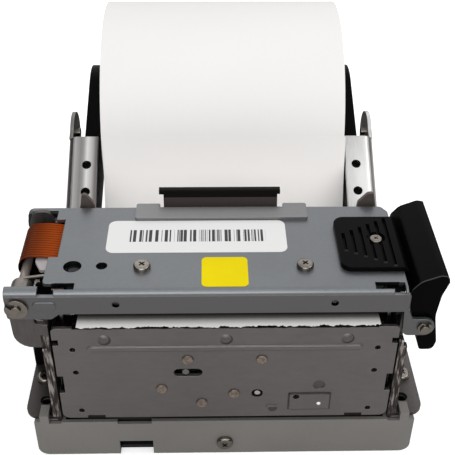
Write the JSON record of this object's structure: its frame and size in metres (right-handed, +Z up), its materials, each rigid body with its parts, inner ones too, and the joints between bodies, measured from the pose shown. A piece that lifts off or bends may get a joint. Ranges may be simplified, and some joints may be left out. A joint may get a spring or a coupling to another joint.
{
  "type": "receipt printer mechanism",
  "caption": "Open-frame kiosk receipt printer: hinged thermal print head, squeeze latch, guillotine cutter, gear-driven platen and rear arms that hold the paper roll.",
  "frame": {"origin": "centre of the four mounting holes, on the underside of the base tray", "axes": "+X to the right seen from the front, +Y from the paper exit back towards the roll, +Z up"},
  "size_m": [0.1152, 0.1564, 0.0904],
  "materials": {
    "tray_paint": "satin, fine texture",
    "nickel": "nickel plated",
    "frame_steel": "satin",
    "cutter_steel": "satin, warm grey",
    "copper_rivet": "satin",
    "bright_steel": "bright",
    "black_plastic": "fine texture",
    "blade_steel": "ground",
    "platen_rubber": "ground",
    "gear_plastic": "natural acetal",
    "flex_film": "film over copper",
    "cover_steel": "satin, blue-grey",
    "ceramic": "glazed",
    "aluminium": "natural",
    "label_white": "satin",
    "label_yellow": "satin",
    "core_card": "matt",
    "paper": "matt",
    "board": "solder mask",
    "header_plastic": "natural nylon"
  },
  "bodies": {
    "chassis": {"base_tray": "tray_paint", "tray_screws": "nickel", "left_side_frame": "frame_steel", "right_side_frame": "frame_steel", "rear_cross_plate": "frame_steel", "cutter_front_plate": "cutter_steel", "cutter_rivets": "copper_rivet", "cutter_back_plate": "frame_steel", "cutter_motor": "bright_steel", "exit_guide": "black_plastic", "guide_pins": "nickel", "platen_bushes": "nickel", "idler_post": "nickel", "feed_motor": "bright_steel", "gear_cover": "black_plastic", "hinge_shaft": "nickel", "hinge_clips": "nickel", "hinge_spring": "bright_steel", "flex_socket": "black_plastic", "catch_pin": "nickel", "left_arm_bracket": "bright_steel", "right_arm_bracket": "bright_steel", "bracket_screws": "nickel", "arm_pins": "nickel", "left_roll_arm": "black_plastic", "right_roll_arm": "black_plastic", "paper_web": "paper", "paper_end": "paper", "paper_guide": "black_plastic", "control_board": "board", "board_headers": "header_plastic", "board_screws": "nickel"},
    "platen": {"platen_roller": "platen_rubber", "platen_shaft": "bright_steel", "platen_gear": "gear_plastic"},
    "idler": {"idler_gear": "gear_plastic"},
    "feed_pinion": {"feed_pinion": "nickel"},
    "roll": {"paper_roll": "paper", "roll_core": "core_card"},
    "cutter_slide": {"cutter_slide": "bright_steel"},
    "moving_blade": {"moving_blade": "blade_steel"},
    "cutter_pinion": {"cutter_pinion": "bright_steel"},
    "head": {"head_cover": "cover_steel", "rear_stiffener": "frame_steel", "inlet_guide": "black_plastic", "fixed_blade": "blade_steel", "head_screws": "nickel", "thumb_pad": "black_plastic", "pad_screw": "nickel", "head_springs": "bright_steel", "white_label": "label_white", "yellow_label": "label_yellow", "latch_shaft": "nickel", "latch_clips": "nickel", "latch_spring": "bright_steel", "flex_cable": "flex_film"},
    "printhead": {"printhead": "ceramic", "head_heatsink": "aluminium"},
    "latch": {"latch_lever": "black_plastic"}
  },
  "joints": [
    {"name": "platen_spin", "type": "hinge", "parent": "chassis", "child": "platen", "pos_m": [0, -0.034, 0.045], "axis": [1, 0, 0], "continuous": true},
    {"name": "idler_spin", "type": "hinge", "parent": "chassis", "child": "idler", "pos_m": [-0.053, -0.02424, 0.03881], "axis": [1, 0, 0], "continuous": true},
    {"name": "feed_pinion_spin", "type": "hinge", "parent": "chassis", "child": "feed_pinion", "pos_m": [-0.05, -0.016, 0.03], "axis": [1, 0, 0], "continuous": true},
    {"name": "roll_spin", "type": "hinge", "parent": "chassis", "child": "roll", "pos_m": [0.0004, 0.066, 0.052], "axis": [1, 0, 0], "continuous": true},
    {"name": "cutter_slide_travel", "type": "slide", "parent": "chassis", "child": "cutter_slide", "axis": [1, 0, 0], "range_m": [0, 0.0031]},
    {"name": "blade_lift", "type": "slide", "parent": "chassis", "child": "moving_blade", "axis": [0, 0, 1], "range_m": [0, 0.0031]},
    {"name": "cutter_pinion_spin", "type": "hinge", "parent": "chassis", "child": "cutter_pinion", "pos_m": [0.0089, -0.044, 0.026], "axis": [0, 1, 0], "range_deg": [-1, 43.5]},
    {"name": "head_hinge", "type": "hinge", "parent": "chassis", "child": "head", "pos_m": [-0.054, -0.03, 0.058], "axis": [0, -1, 0], "range_deg": [0, 75], "deforming": ["flex_cable"]},
    {"name": "printhead_float", "type": "slide", "parent": "head", "child": "printhead", "axis": [0, 0, 1], "range_m": [0, 0.0003], "stiffness_N_per_m": 3000, "springref_m": -0.0005, "deforming": ["head_springs"]},
    {"name": "latch_pivot", "type": "hinge", "parent": "head", "child": "latch", "pos_m": [0.0527, -0.031, 0.0502], "axis": [0, -1, 0], "range_deg": [0, 6], "stiffness_Nm_per_rad": 0.02, "springref_deg": -11.46, "deforming": ["latch_spring"]}
  ],
  "couplings": [
    {"joint": "idler_spin", "follows": "platen_spin", "ratio": -1.875},
    {"joint": "feed_pinion_spin", "follows": "platen_spin", "ratio": 5.625},
    {"joint": "blade_lift", "follows": "cutter_slide_travel", "ratio": 1},
    {"joint": "cutter_pinion_spin", "follows": "cutter_slide_travel", "rad_per_m": 238.1}
  ]
}
